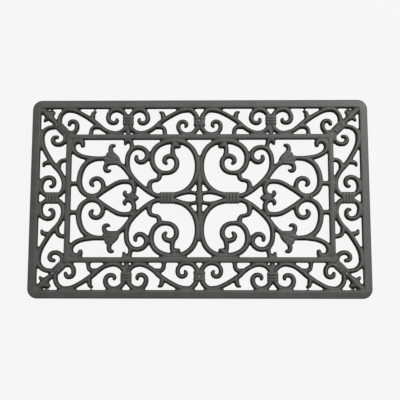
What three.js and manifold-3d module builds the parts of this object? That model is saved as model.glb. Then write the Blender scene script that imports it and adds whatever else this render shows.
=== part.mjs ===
// Cast iron door mat: one pierced scrollwork casting that stands on six rubber feet, each
// held by a semi-tubular rivet. Millimetres, +Z up. The origin is on the floor under the middle
// of the mat, +X runs along its length and +Y across it. The design is the same in all four
// quarters, so every place is given for the quarter with positive X and Y and mirrored.

import * as THREE from 'three';
import { mergeVertices } from 'three/addons/utils/BufferGeometryUtils.js';
import Module from 'manifold-3d';

const wasm = await Module();
wasm.setup();

// The casting
const matLength = 730;
const matWidth = 430;
const ironThickness = 11;
const cornerRadius = 20.6;
const frameWidth = 18; // plain outer frame
const frameInsideRadius = 3;
const bandWidth = 57; // scrollwork band between the two frames
const innerFrameWidth = 12;
const innerFrameRadius = 3;
const innerFrameInsideRadius = 2;
const barScale = 1; // scales the width of every scroll bar

// The wrapped collars that seem to tie the scrolls together
const backCollar = { length: 22, width: 24.6 }; // length is across the band
const sideCollar = { length: 29, width: 24.6 };
const cornerCollarWidth = 20;
const cornerCollarInset = 35.7; // from the inside edges of the outer frame
const cornerCollarSink = 4; // how far it starts inside the inner frame's corner

// The feet and their rivets
const footHeight = 5; // below the iron
const footRim = 3.5; // ring of rubber round the pocket that holds the rivet's head
const footTaper = 1.5; // less radius at the floor
const footTaperHeight = 3;
const rivetShank = 5; // outside diameter
const rivetWall = 0.6;
const rivetBoreDepth = 8; // from the top end
const rivetRoll = 0.9; // how far the rolled top end spreads
const rivetRollDepth = 1.2;
const rivetHead = 9.5; // diameter
const rivetHeadThickness = 1.1;
const headAboveFloor = 1.2;

// Clearances
const fitGap = 0.3; // round a rivet, and between pieces that seat on each other
const headClearance = 0.75; // round a rivet's head

// How finely round stretches are cut
const chordError = 0.7;
const curveSamples = 24; // between two points of a bar, before the ones that matter are kept
const tipSteps = 4;
const cornerSteps = 6;
const footSides = 18;
const rivetSides = 12;
const leastEdge = 0.4; // outline points closer together than this become one
const smallestHole = 3; // square millimetres, and smaller ones are filled
const cutterPast = 1; // how far a cutting shape runs past the iron

// Worked out from the values above
const half = new THREE.Vector2(matLength / 2, matWidth / 2);
const frameInside = half.clone().subScalar(frameWidth);
const innerOutside = frameInside.clone().subScalar(bandWidth);
const fieldHalf = innerOutside.clone().subScalar(innerFrameWidth);
const ironBottom = footHeight + fitGap;
const ironTop = ironBottom + ironThickness;
const pocketRadius = rivetHead / 2 + headClearance;
const pocketDepth = headAboveFloor + rivetHeadThickness + fitGap;
const rivetHoleRadius = rivetShank / 2 + fitGap;

// The scrolls were drawn for a field of these half sizes, for a band of this width whose
// outer edge stood here, and in units of these lengths. Near the frames and collars they
// keep their distance, and the rest stretches.
const drawnField = new THREE.Vector2(276.8, 127.4);
const drawnBand = 56.8;
const drawnFrameInside = new THREE.Vector2(345.5, 196.1);
const drawnUnit = 155.25;
const drawnSideUnit = 160.5;
const keptAtMiddle = 12;
const keptAtFrame = 15;
const keptAtCollar = 10;

function stretch(value, drawn, real, keptAtStart, keptAtEnd) {
  if (value <= keptAtStart) return value;
  if (value >= drawn - keptAtEnd) return value + real - drawn;
  const share = (value - keptAtStart) / (drawn - keptAtStart - keptAtEnd);
  return keptAtStart + share * (real - keptAtStart - keptAtEnd);
}

const inField = ([x, y, width]) => [
  stretch(x, drawnField.x, fieldHalf.x, keptAtMiddle, keptAtFrame),
  stretch(y, drawnField.y, fieldHalf.y, keptAtMiddle, keptAtFrame),
  width,
];

// A place in the band is its distance along the band from a collar, and its distance out
// from the inner frame.
const unitLong = (frameInside.x - cornerCollarInset) / 2;
const unitShort = frameInside.y - cornerCollarInset;
const acrossBand = (out) => stretch(out, drawnBand, bandWidth, keptAtMiddle, keptAtMiddle);
const alongBand = (along) => stretch(along, drawnUnit, unitLong, keptAtCollar, keptAtCollar);
const alongSide = (along) => stretch(along, drawnSideUnit, unitShort, keptAtCollar, keptAtCollar);

const towardsMiddle = ([along, out, width]) => [
  unitLong - alongBand(along),
  innerOutside.y + acrossBand(out),
  width,
];
const towardsCorner = ([along, out, width]) => [
  unitLong + alongBand(along),
  innerOutside.y + acrossBand(out),
  width,
];
const upTheSide = ([out, along, width]) => [
  innerOutside.x + acrossBand(out),
  alongSide(along),
  width,
];

// A place near the corner keeps its distance in from the inside edges of the outer frame.
const nearCorner = ([x, y, width]) => [
  frameInside.x + x - drawnFrameInside.x,
  frameInside.y + y - drawnFrameInside.y,
  width,
];

// Bars are lists of [x, y, width] along their middle line.
const field = {
  ringAndSpiral: [
    [72, 5, 14], [52, 7.3, 11], [38, 12, 10], [26, 19, 11], [14.8, 31, 11.5], [7.4, 48, 11],
    [4.5, 70, 11], [7.3, 89.8, 11.4], [14.4, 105.5, 11.8], [25.9, 116.6, 12], [42, 123.4, 12.5],
    [62, 124.2, 13], [79.6, 119.8, 12], [93.2, 111.1, 12], [101.3, 98.3, 12], [102.9, 85, 12],
    [100.3, 72.5, 11.6], [94.1, 62.5, 12], [84.8, 55.9, 11.9], [72, 54.6, 10], [60, 57.3, 10.2],
    [51.6, 65, 11], [48.9, 75.5, 11.5], [52, 85.9, 11.2], [60.5, 91.3, 11], [69, 90.4, 11.2],
    [74.5, 85.9, 11], [75.2, 79.5, 10.6], [71.6, 75, 7.4],
  ],
  wavyLink: [
    [86, 57, 10], [86.3, 46.3, 11.2], [89.8, 40.2, 9.4], [97.5, 38, 8.6], [105, 34.8, 10],
    [107.8, 27, 11.2], [106.6, 18, 11.8], [101, 8, 10],
  ],
  ringStem: [[54.8, 88, 11.4], [57.5, 98, 10.8], [58.2, 107, 10.4], [57, 114, 9.4], [53.5, 122, 11]],
  ringLeaf: [[54.5, 116, 12], [48, 113.2, 11.2], [43.8, 112, 7.4]],
  middleBar: [
    [0, -10, 16.4], [0, 6, 16.4], [0, 16, 11.8], [0, 27, 12.2], [0, 36, 13], [0, 60, 8], [0, 91, 6],
  ],
  almondBar: [
    [-4, 7, 9], [9, 10.4, 9.2], [20, 11.8, 9.8], [32, 10.7, 9.4], [44, 7.2, 8.8], [60, 1.5, 9],
  ],
  heart: [
    [76, 5, 9], [90, 4.2, 11.5], [101, 8.8, 10.5], [112.2, 15.5, 10.5], [122.9, 23.9, 10.4],
    [133.7, 33.4, 10.4], [143.8, 44.6, 10], [151.6, 57, 9.8], [155.6, 70, 10.8],
    [156, 84, 11.2], [153.6, 95.8, 11], [147.5, 104.8, 11], [138.8, 109.9, 11], [130, 110.3, 11],
    [120.4, 106.6, 11], [114.3, 99.5, 11], [113.2, 90.5, 11], [117.7, 82.2, 11.4],
    [125.5, 78.2, 11], [133, 80, 10.2], [137, 85.5, 9.5], [136.4, 91, 8],
  ],
  heartStem: [[151, 102, 9], [147.2, 110, 9.6], [147.6, 118, 9.6], [150.5, 125, 11], [156, 133, 15]],
  heartLeaf: [[157, 132, 15], [159, 125, 12], [161.2, 118.6, 7]],
  tulipStem: [
    [147, 42, 7], [154, 53.3, 8.8], [160.5, 62.4, 9.6], [167.8, 70.1, 9.8], [176, 76.5, 11],
  ],
  tulipTopPetal: [
    [189, 94, 12], [192, 101, 10.8], [193, 108, 10.4], [190.6, 113.9, 9.4], [185.2, 114.8, 7.6],
  ],
  tulipLowPetal: [
    [192, 78, 12], [199.5, 74.6, 11.6], [204, 68, 9.6], [202.6, 60.8, 10], [196.6, 58.7, 8.2],
    [192.8, 60.2, 5.4],
  ],
  stalkAndHook: [
    [200, 86.5, 10], [212, 86.3, 10.4], [224, 86.1, 10.6], [237, 87.4, 10.5], [250, 89.6, 10.6],
    [261.8, 94, 10.6], [271, 101.1, 11], [275.5, 112, 13], [272, 121.6, 14],
    [263, 124.6, 13], [255, 121, 12], [253.9, 114.9, 10],
  ],
  bigScroll: [
    [216, 86, 10], [226, 85, 10.7], [238, 80.4, 11.5], [248.2, 72.6, 12.2], [254.7, 61.1, 12.2],
    [258.6, 47.3, 12.3], [259.3, 33, 12.8], [255.8, 20, 12.5], [247, 9.4, 11.3],
    [235, 4.6, 10.4], [222.3, 6, 10.2], [212.5, 13.2, 10.4], [207.6, 23.6, 10.4],
    [209.2, 34, 10.6], [215.7, 41.1, 10.4], [224, 42.4, 10.4], [231.2, 38.6, 10.4],
    [233.6, 32, 10], [230, 27, 7.4],
  ],
  scrollLink: [[256, 31.3, 12], [270, 31.2, 10], [286, 31.3, 13]],
  wave: [
    [142, 36, 9], [152, 35.4, 10.8], [163, 35.7, 10.8], [174, 33.7, 10.8], [185, 28.4, 10.6],
    [196, 21.6, 10.4], [208, 13.8, 10.6], [220, 5.2, 11], [232, -2, 11],
  ],
  waveCurl: [
    [156, 35.8, 10], [149.5, 34, 10.6], [144.2, 30.2, 11], [141.2, 24, 11], [140.6, 17.5, 10.8],
    [142.5, 11.2, 10.6], [147, 6.6, 10.4], [153, 4.8, 10], [158.8, 6.4, 9.8], [161, 10.8, 9.2],
    [160, 13.6, 7],
  ],
  axisBud: [[130, 0, 2.6], [136, 0, 14], [144, 0, 16.4], [150, 0, 12], [157, 0, 5]],
};

// The half of the long sides' band towards the middle, as [along, out, width]
const bandInwards = {
  scroll: [
    [153, 20, 10], [150.4, 29, 11.2], [149.4, 38, 11.2], [144.6, 46.7, 11.2], [136, 53.6, 11.2],
    [124, 54.4, 11.8], [112, 51.2, 10.2], [100.8, 46, 10.2], [88.8, 39.3, 10.2],
    [77, 31.9, 10.8], [68.2, 25.2, 10.8], [59.5, 17.2, 10.1], [48.4, 9.5, 10.2],
    [37.5, 4.8, 10], [26, 3.1, 10.6], [14, 6.3, 11], [6, 14, 11], [3, 24, 10],
  ],
  curl: [
    [3, 37.5, 11], [8.4, 47.1, 11], [17.4, 53.5, 11.2], [28, 54.7, 11.4], [36.4, 50.3, 11],
    [41.4, 42.3, 11], [42.2, 33.6, 10.6], [38.7, 28, 10], [32, 25.3, 10],
    [25.3, 27.6, 9.4], [23.3, 32.2, 8], [24.4, 35, 5.8],
  ],
  leaf: [[77.6, 30, 11.6], [76, 41, 10.8], [74.1, 48.2, 10.2], [69.4, 51, 5.2]],
  link: [[63, 17, 11], [72, 16.8, 9.8], [77.6, 13, 9.8], [79.6, 6.4, 9.7], [79.8, -3, 10]],
  middleCurl: [
    [152, 20.2, 11], [148.2, 10.8, 10.8], [139.4, 3, 9.8], [128, 0.6, 9.6], [117.8, 3.4, 9.6],
    [111.2, 10, 9.7], [109.4, 19, 9.8], [112.4, 26.4, 9.6], [119, 28.9, 9.8], [125, 26.6, 9.2],
    [126.9, 21.3, 8.6], [124.8, 17.5, 6.4],
  ],
  halfwayLeg: [[0, -3, 15], [0, 2, 10.4], [0, 9, 12], [0, 21, 20]],
  middleLeg: [[drawnUnit, 11.5, 11], [drawnUnit, 16, 18], [drawnUnit, 22, 22]],
};

// The half towards the corner, which is drawn out a little at its leaf
const bandOutwards = {
  scroll: [
    [153, 20, 10], [150.6, 29, 11], [150, 38, 11], [145.4, 47.1, 10.8], [136, 54, 11],
    [124, 54.8, 11.4], [112, 51.2, 10.2], [101, 45.5, 10.2], [89.3, 38.7, 10.4],
    [78, 31.4, 11.2], [69.2, 24.8, 10.8], [59.8, 16.7, 10.4], [48.9, 8.9, 10.3],
    [37.5, 4.6, 10.2], [26, 2.9, 10.4], [14, 6.3, 11], [6, 14, 11], [3, 24, 10],
  ],
  curl: [
    [3, 37.5, 11], [8.5, 47, 11], [17.4, 53.4, 11.2], [28, 55.1, 10.9], [38.1, 51.1, 11.2],
    [43.3, 42.5, 11], [43.3, 33.8, 10.6], [39.1, 28, 10.4], [32.4, 26.1, 9.8],
    [26.3, 28, 9.2], [24.7, 32.3, 8.2], [25.8, 34.9, 5.8],
  ],
  leaf: [[79, 30, 11.6], [78, 41, 10.6], [76.3, 48.1, 9.8], [71.6, 50.9, 5]],
  link: [[64, 17, 11], [72.6, 16.8, 10.2], [78.7, 13, 9.8], [80.9, 6.4, 9], [81, -3, 11]],
};

// The band up the short sides, as [out, along, width]
const sideBand = {
  scroll: [
    [20, 158.2, 10], [29, 156, 10.2], [38, 154.8, 10.2], [46.8, 149.9, 10.8], [53.6, 140.8, 12.6],
    [54.8, 128.5, 12.7], [52.1, 116, 11.4], [47, 104.2, 10.8], [38.9, 90.2, 10.8],
    [31, 77.5, 11.2], [23.8, 68.8, 10.8], [15.7, 59.6, 10.4], [8.8, 48.7, 10.5],
    [4.6, 37.7, 10.6], [3.6, 26.2, 10.9], [7.2, 14.1, 11.2], [14.5, 6.4, 11], [24, 3, 10.4],
  ],
  curl: [
    [36.5, 3.2, 10.6], [46.1, 8.9, 10], [52.9, 17.3, 12.2], [53.7, 28.5, 12.8],
    [49.6, 38.3, 11.6], [41.7, 43.9, 10.4], [33, 44.3, 10.4], [26.8, 40.2, 10.4],
    [25, 33.4, 9.8], [27.2, 27.2, 9.2], [31.5, 25, 8], [34, 25.8, 5.6],
  ],
  leaf: [[30, 78.7, 11.4], [41, 77.2, 10.6], [48.2, 75.4, 10], [50.6, 70.6, 5.4]],
  link: [[17, 64.8, 11.4], [15.5, 73.8, 10.6], [11.8, 79.8, 10], [5, 82.4, 9.6], [-4, 82.5, 11]],
};

// The curls at a corner collar, and the folded leaf that runs on to the frame's corner
const corner = {
  backCurl: [
    [301.3, 154, 10], [291.3, 147, 10.4], [281.8, 143.3, 10.4], [274, 144, 10.8],
    [268.3, 149.6, 10.8], [266.3, 158, 10.8], [268.7, 165.6, 10.2], [274.7, 169.1, 10],
    [281.8, 167.5, 9.4], [284.2, 162, 7.8],
  ],
  sideCurl: [
    [303.6, 152.4, 9.6], [296.4, 143, 8.8], [292.8, 133, 8.6], [293.7, 125.2, 10.2],
    [299.5, 119.3, 10.4], [308, 117.3, 10], [315.8, 120, 10.2], [319.3, 126.4, 10.2],
    [317.2, 132.6, 9.4], [310.8, 134.3, 7.8],
  ],
  leafSpine: [
    [303.5, 153.5, 14], [311, 161.6, 12], [318.5, 169, 10.6], [327, 177.5, 15.4], [334, 185, 15],
    [340, 191, 13.4], [348, 199, 14],
  ],
  leafBackLobe: [[324, 177, 12], [321.8, 184, 8.8], [317.9, 190, 6.4]],
  leafBackFold: [[334, 187, 12.6], [326, 188.2, 9.4], [320, 189.6, 6]],
  leafSideLobe: [[327, 175.6, 10], [332.5, 174.6, 9], [337.4, 171.6, 8], [338.8, 169.4, 4.6]],
};

// The two tulips are broad flat flowers, so their bells are filled outlines.
const tulipBell = [
  [167, 72.5], [172, 68.6], [178, 71.2], [190, 71.2], [198, 71], [204.8, 72.4], [205.5, 77],
  [208, 80.6], [208, 91.4], [203.6, 91.9], [201.8, 93.6], [201.4, 96.6], [200.2, 98.9],
  [197.3, 100.2], [196, 102.8], [186.8, 102.8], [183, 98.4], [179, 94.9], [175.4, 91.2],
  [172.8, 87.2], [171.2, 83], [169.8, 78.5],
];

// The knots on the long axis of the field are blocks.
const fieldKnots = [
  { from: [54, -12.5], to: [84.5, 12.5] },
  { from: [221, -7], to: [243, 7] },
];

function solidOf(geometry) {
  geometry.deleteAttribute('normal');
  geometry.deleteAttribute('uv');
  const merged = mergeVertices(geometry, 1e-4);
  const vertProperties = new Float32Array(merged.attributes.position.array);
  const triVerts = new Uint32Array(merged.index.array);
  return new wasm.Manifold(new wasm.Mesh({ numProp: 3, vertProperties, triVerts }));
}

function geometryOf(solid) {
  const mesh = solid.getMesh();
  const geometry = new THREE.BufferGeometry();
  geometry.setAttribute('position', new THREE.BufferAttribute(mesh.vertProperties, 3));
  geometry.setIndex(new THREE.BufferAttribute(mesh.triVerts, 1));
  return geometry;
}

function plate(outline) {
  const shape = new THREE.Shape(outline);
  const geometry = new THREE.ExtrudeGeometry(shape, { depth: ironThickness, bevelEnabled: false });
  return solidOf(geometry.translate(0, 0, ironBottom));
}

// Places along a smooth line, close together only where it turns.
function stationsOn(points) {
  const curve = new THREE.CatmullRomCurve3(points.map((p) => new THREE.Vector3(...p)), false, 'centripetal');
  const fine = curve.getPoints(points.length * curveSamples);
  const stations = [fine[0]];
  let turned = 0;
  let travelled = 0;
  for (let i = 1; i < fine.length - 1; i += 1) {
    const step = fine[i].clone().sub(fine[i - 1]);
    const next = fine[i + 1].clone().sub(fine[i]);
    turned += Math.abs(Math.atan2(step.x * next.y - step.y * next.x, step.x * next.x + step.y * next.y));
    travelled += Math.hypot(step.x, step.y);
    const radius = travelled / Math.max(turned, 1e-6) + fine[i].z / 2;
    if (radius * (1 - Math.cos(turned / 2)) > chordError) {
      stations.push(fine[i]);
      turned = 0;
      travelled = 0;
    }
  }
  return [...stations, fine.at(-1)];
}

// Adds a point to one side of a bar, and takes back close ones that it doesn't get past.
function extend(side, point, forward, reach) {
  const passed = (p) => point.clone().sub(p).dot(forward) > leastEdge || p.distanceTo(point) > reach;
  while (side.length > 0 && !passed(side.at(-1))) side.pop();
  side.push(point);
}

// The outline of a bar: out along its left side, round its tip and back along its right.
function barOutline(points) {
  const stations = stationsOn(points);
  const left = [];
  const right = [];
  const forward = new THREE.Vector2();
  stations.forEach((station, i) => {
    const ahead = stations[Math.min(i + 1, stations.length - 1)];
    const behind = stations[Math.max(i - 1, 0)];
    forward.set(ahead.x - behind.x, ahead.y - behind.y).normalize();
    const middle = new THREE.Vector2(station.x, station.y);
    const reach = (station.z * barScale) / 2;
    const across = new THREE.Vector2(-forward.y, forward.x).multiplyScalar(reach);
    extend(left, middle.clone().add(across), forward, reach);
    extend(right, middle.clone().sub(across), forward, reach);
  });
  const end = stations.at(-1);
  const tipRadius = (end.z * barScale) / 2;
  const tip = [];
  for (let step = 1; step < tipSteps; step += 1) {
    const angle = forward.angle() + Math.PI / 2 - (step * Math.PI) / tipSteps;
    tip.push(new THREE.Vector2(end.x + tipRadius * Math.cos(angle), end.y + tipRadius * Math.sin(angle)));
  }
  return [...left, ...tip, ...right.reverse()];
}

function roundedRectangle(outside, radius) {
  const outline = new THREE.Path();
  const x = outside.x - radius;
  const y = outside.y - radius;
  outline.absarc(x, y, radius, 0, Math.PI / 2);
  outline.absarc(-x, y, radius, Math.PI / 2, Math.PI);
  outline.absarc(-x, -y, radius, Math.PI, 1.5 * Math.PI);
  outline.absarc(x, -y, radius, 1.5 * Math.PI, 2 * Math.PI);
  return outline.getPoints(cornerSteps).slice(0, -1);
}

function frameSolid(outside, width, radius, insideRadius) {
  const inside = outside.clone().subScalar(width);
  const ring = plate(roundedRectangle(outside, radius));
  return ring.subtract(plate(roundedRectangle(inside, insideRadius)));
}

const rectangle = ([x0, y0], [x1, y1]) => [
  new THREE.Vector2(x0, y0), new THREE.Vector2(x1, y0),
  new THREE.Vector2(x1, y1), new THREE.Vector2(x0, y1),
];

const around = (x, y, width, length) => rectangle(
  [x - width / 2, y - length / 2], [x + width / 2, y + length / 2],
);

// Collars stand in the middle of the band, and at the corners they run into the inner frame.
const bandMiddle = acrossBand(drawnBand / 2);

function collarOutlines() {
  const back = innerOutside.y + bandMiddle;
  const side = innerOutside.x + bandMiddle;
  const cornerBar = [
    [innerOutside.x - cornerCollarSink, innerOutside.y - cornerCollarSink, cornerCollarWidth],
    [frameInside.x - cornerCollarInset, frameInside.y - cornerCollarInset, cornerCollarWidth],
  ];
  return [
    around(0, back, backCollar.width, backCollar.length),
    around(unitLong, back, backCollar.width, backCollar.length),
    around(side, 0, sideCollar.length, sideCollar.width),
    barOutline(cornerBar),
  ];
}

function quarterOutlines() {
  const bars = [
    ...Object.values(field).map((bar) => bar.map(inField)),
    ...Object.values(bandInwards).map((bar) => bar.map(towardsMiddle)),
    ...Object.values(bandOutwards).map((bar) => bar.map(towardsCorner)),
    ...Object.values(sideBand).map((bar) => bar.map(upTheSide)),
    ...Object.values(corner).map((bar) => bar.map(nearCorner)),
  ];
  const bell = tulipBell.map(inField).map(([x, y]) => new THREE.Vector2(x, y));
  const knots = fieldKnots.map(({ from, to }) => rectangle(
    [inField(from)[0], from[1]], [inField(to)[0], to[1]],
  ));
  return [...bars.map(barOutline), bell, ...knots, ...collarOutlines()];
}

// The outline in another quarter, still anticlockwise.
function mirrored(outline, [sx, sy]) {
  const points = outline.map((p) => new THREE.Vector2(p.x * sx, p.y * sy));
  return sx * sy < 0 ? points.reverse() : points;
}

// The border of a flat solid's top face, as closed loops of points.
function bordersOf(solid) {
  const { vertProperties, triVerts } = solid.getMesh();
  const point = (v) => new THREE.Vector2(vertProperties[3 * v], vertProperties[3 * v + 1]);
  const onTop = (v) => vertProperties[3 * v + 2] > ironTop - ironThickness / 2;
  const edges = new Map();
  for (let t = 0; t < triVerts.length; t += 3) {
    const corners = [...triVerts.slice(t, t + 3)];
    if (!corners.every(onTop)) continue;
    corners.forEach((v, i) => edges.set(`${v}-${corners[(i + 1) % 3]}`, [v, corners[(i + 1) % 3]]));
  }
  const next = new Map();
  for (const [from, to] of edges.values()) {
    if (!edges.has(`${to}-${from}`)) next.set(from, to);
  }
  const loops = [];
  while (next.size > 0) {
    const [first] = next.keys();
    const loop = [];
    for (let v = first; next.has(v);) {
      loop.push(point(v));
      const following = next.get(v);
      next.delete(v);
      v = following;
    }
    loops.push(loop);
  }
  return loops;
}

// Leaves out points that stand closer than the least edge to the one before.
function tidied(loop) {
  const kept = [];
  for (const p of loop) {
    if (kept.length === 0 || p.distanceTo(kept.at(-1)) > leastEdge) kept.push(p);
  }
  if (kept[0].distanceTo(kept.at(-1)) < leastEdge) kept.pop();
  return kept;
}

// All bars joined. The joined faces are cut up where bars met, so the casting is made once
// more from its own borders, without the slits too small to cast.
function castingSolid() {
  const solids = [
    frameSolid(half, frameWidth, cornerRadius, frameInsideRadius),
    frameSolid(innerOutside, innerFrameWidth, innerFrameRadius, innerFrameInsideRadius),
  ];
  for (const sides of [[1, 1], [-1, 1], [-1, -1], [1, -1]]) {
    for (const outline of quarterOutlines()) solids.push(plate(mirrored(outline, sides)));
  }
  const loops = bordersOf(wasm.Manifold.union(solids)).map(tidied);
  const outside = loops.find((loop) => THREE.ShapeUtils.area(loop) > 0);
  const holes = loops.filter((loop) => THREE.ShapeUtils.area(loop) < -smallestHole);
  return plate(outside).subtract(wasm.Manifold.union(holes.map((hole) => plate(hole.reverse()))));
}

// The six feet stand under the corner collars and the middle collars of the long sides.
const footSites = {
  front_left: [-1, -1], front_middle: [0, -1], front_right: [1, -1],
  back_left: [-1, 1], back_middle: [0, 1], back_right: [1, 1],
};

function footPlace([sx, sy]) {
  if (sx === 0) return new THREE.Vector3(0, sy * (innerOutside.y + bandMiddle), 0);
  const { x, y } = frameInside.clone().subScalar(cornerCollarInset);
  return new THREE.Vector3(sx * x, sy * y, 0);
}

// A profile of [radius, height] turned round Z. One that starts on the axis also ends there,
// and any other is closed on itself.
function turned(profile, sides) {
  const points = profile.map(([r, z]) => new THREE.Vector2(r, z));
  if (points[0].x > 0) points.push(points[0]);
  return new THREE.LatheGeometry(points, sides).rotateX(Math.PI / 2);
}

// Hole for a rivet: a plain bore that opens into a cone for the rolled end.
function rivetHole() {
  const mouth = rivetHoleRadius + rivetRoll;
  return turned([
    [0, ironBottom - cutterPast], [rivetHoleRadius, ironBottom - cutterPast],
    [rivetHoleRadius, ironTop - rivetRollDepth], [mouth, ironTop],
    [mouth, ironTop + cutterPast], [0, ironTop + cutterPast],
  ], rivetSides);
}

function foot() {
  const radius = pocketRadius + footRim;
  return turned([
    [rivetHoleRadius, pocketDepth], [pocketRadius, pocketDepth], [pocketRadius, 0],
    [radius - footTaper, 0], [radius, footTaperHeight], [radius, footHeight],
    [rivetHoleRadius, footHeight],
  ], footSides);
}

// A rivet is solid at its head and hollow at its top end, which is rolled out to hold.
function rivet() {
  const shank = rivetShank / 2;
  const bore = shank - rivetWall;
  const head = rivetHead / 2;
  const headTop = headAboveFloor + rivetHeadThickness;
  const neck = ironTop - rivetRollDepth - fitGap;
  const top = ironTop - fitGap;
  const boreBottom = top - rivetBoreDepth;
  return turned([
    [0, headAboveFloor], [head, headAboveFloor], [head, headTop], [shank, headTop],
    [shank, neck], [shank + rivetRoll, top], [bore, top], [bore, boreBottom], [0, boreBottom],
  ], rivetSides);
}

const paintedIron = new THREE.MeshStandardMaterial({ color: 0x555553, roughness: 0.75, metalness: 0.3 });
const rubber = new THREE.MeshStandardMaterial({ color: 0x1b1b1b, roughness: 0.9, metalness: 0 });
const steel = new THREE.MeshStandardMaterial({ color: 0x8d8d8a, roughness: 0.5, metalness: 0.8 });

const mat = new THREE.Group();

function add(name, geometry, material, place) {
  const mesh = new THREE.Mesh(geometry, material);
  mesh.name = name;
  mesh.position.copy(place);
  mat.add(mesh);
}

let casting = castingSolid();
for (const [site, sides] of Object.entries(footSites)) {
  const place = footPlace(sides);
  add(`foot_${site}`, foot(), rubber, place);
  add(`rivet_${site}`, rivet(), steel, place);
  casting = casting.subtract(solidOf(rivetHole().translate(...place)));
}
add('scroll_casting', geometryOf(casting), paintedIron, new THREE.Vector3());

export default mat;
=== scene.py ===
# Cast iron door mat: a pierced scrollwork casting on six rubber feet, each held by a
# semi-tubular rivet. The design is the same in all four quarters, so the casting is modelled
# once, in the quarter with positive X and Y, and mirrored twice.

import math

import bpy
from mathutils import Euler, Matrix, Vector


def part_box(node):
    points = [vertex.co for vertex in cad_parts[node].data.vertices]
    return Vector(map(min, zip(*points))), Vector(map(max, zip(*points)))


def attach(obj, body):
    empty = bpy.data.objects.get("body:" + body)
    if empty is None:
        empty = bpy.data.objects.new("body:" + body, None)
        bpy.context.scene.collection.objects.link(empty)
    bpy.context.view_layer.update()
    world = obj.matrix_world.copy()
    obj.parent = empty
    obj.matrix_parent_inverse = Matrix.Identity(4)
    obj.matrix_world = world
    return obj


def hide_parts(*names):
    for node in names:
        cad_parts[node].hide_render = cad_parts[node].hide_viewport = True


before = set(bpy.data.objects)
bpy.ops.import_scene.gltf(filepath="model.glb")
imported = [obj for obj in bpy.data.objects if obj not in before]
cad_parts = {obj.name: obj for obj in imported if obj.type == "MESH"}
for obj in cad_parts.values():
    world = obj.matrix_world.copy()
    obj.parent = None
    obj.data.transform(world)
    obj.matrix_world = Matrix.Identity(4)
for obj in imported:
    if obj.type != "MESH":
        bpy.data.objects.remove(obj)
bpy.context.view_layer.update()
mm = 0.001
mergeDistance = 0.01 * mm  # points nearer each other than this are joined

castingLow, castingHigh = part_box("scroll_casting")
ironBottom = castingLow.z
ironTop = castingHigh.z
ironHeight = (ironTop - ironBottom) / mm


def deselectAll():
    for obj in bpy.context.selected_objects:
        obj.select_set(False)
    bpy.context.view_layer.objects.active = None


def pick(*objs):  # selects these objects only, the last one active
    deselectAll()
    for obj in objs:
        obj.select_set(True)
    bpy.context.view_layer.objects.active = objs[-1]


def applyModifier(obj, kind, **settings):
    pick(obj)
    modifier = obj.modifiers.new(kind.title(), kind)
    for key, value in settings.items():
        setattr(modifier, key, value)
    bpy.ops.object.modifier_apply(modifier=modifier.name)


def moveTo(obj, place):
    pick(obj)
    obj.location = place
    bpy.ops.object.transform_apply(location=True, rotation=False, scale=False)


# Camera, at the photograph's place: almost straight above, a little towards the front edge
cameraFacts = {
    "lens": 62.1,
    "tilt": (7.38, 0.88, 0.06),  # degrees about X, Y and Z
    "distance": 1.4774,
    "aim": (1.5 * mm, -5.6 * mm),  # where the middle of the picture falls on the mat's top
    "clipStart": 0.05,
}


def makeCamera(facts):
    bpy.ops.object.camera_add()
    camera = bpy.context.object
    camera.name = "photoCamera"
    camera.data.lens = facts["lens"]
    camera.data.clip_start = facts["clipStart"]
    turn = Euler([math.radians(angle) for angle in facts["tilt"]])
    aim = Vector((*facts["aim"], ironTop))
    camera.location = aim + turn.to_matrix() @ Vector((0, 0, facts["distance"]))
    camera.rotation_euler = turn
    bpy.context.scene.camera = camera


makeCamera(cameraFacts)
print("camera placed")


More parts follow.
